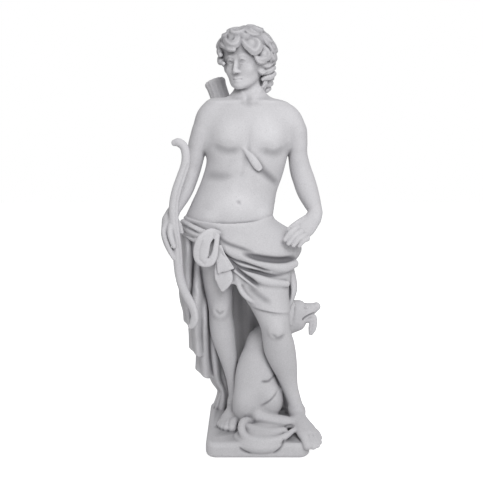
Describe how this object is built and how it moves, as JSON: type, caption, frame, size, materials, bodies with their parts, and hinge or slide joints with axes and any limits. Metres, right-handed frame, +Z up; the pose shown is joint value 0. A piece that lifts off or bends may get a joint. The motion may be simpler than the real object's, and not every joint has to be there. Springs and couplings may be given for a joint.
{
  "type": "archer garden statue",
  "caption": "Cast-stone garden statue of a standing young archer with bow, quiver, hip cloth and seated hound, in one with its plinth.",
  "frame": {"origin": "centre of the plinth's underside", "axes": "+Z up the standing figure, +X to the right-hand side of the front view, and the statue faces -Y"},
  "size_m": [0.4664, 0.3474, 1.1977],
  "materials": {
    "cast_stone": "matte"
  },
  "bodies": {
    "root": {"archer_statue": "cast_stone"}
  },
  "joints": []
}
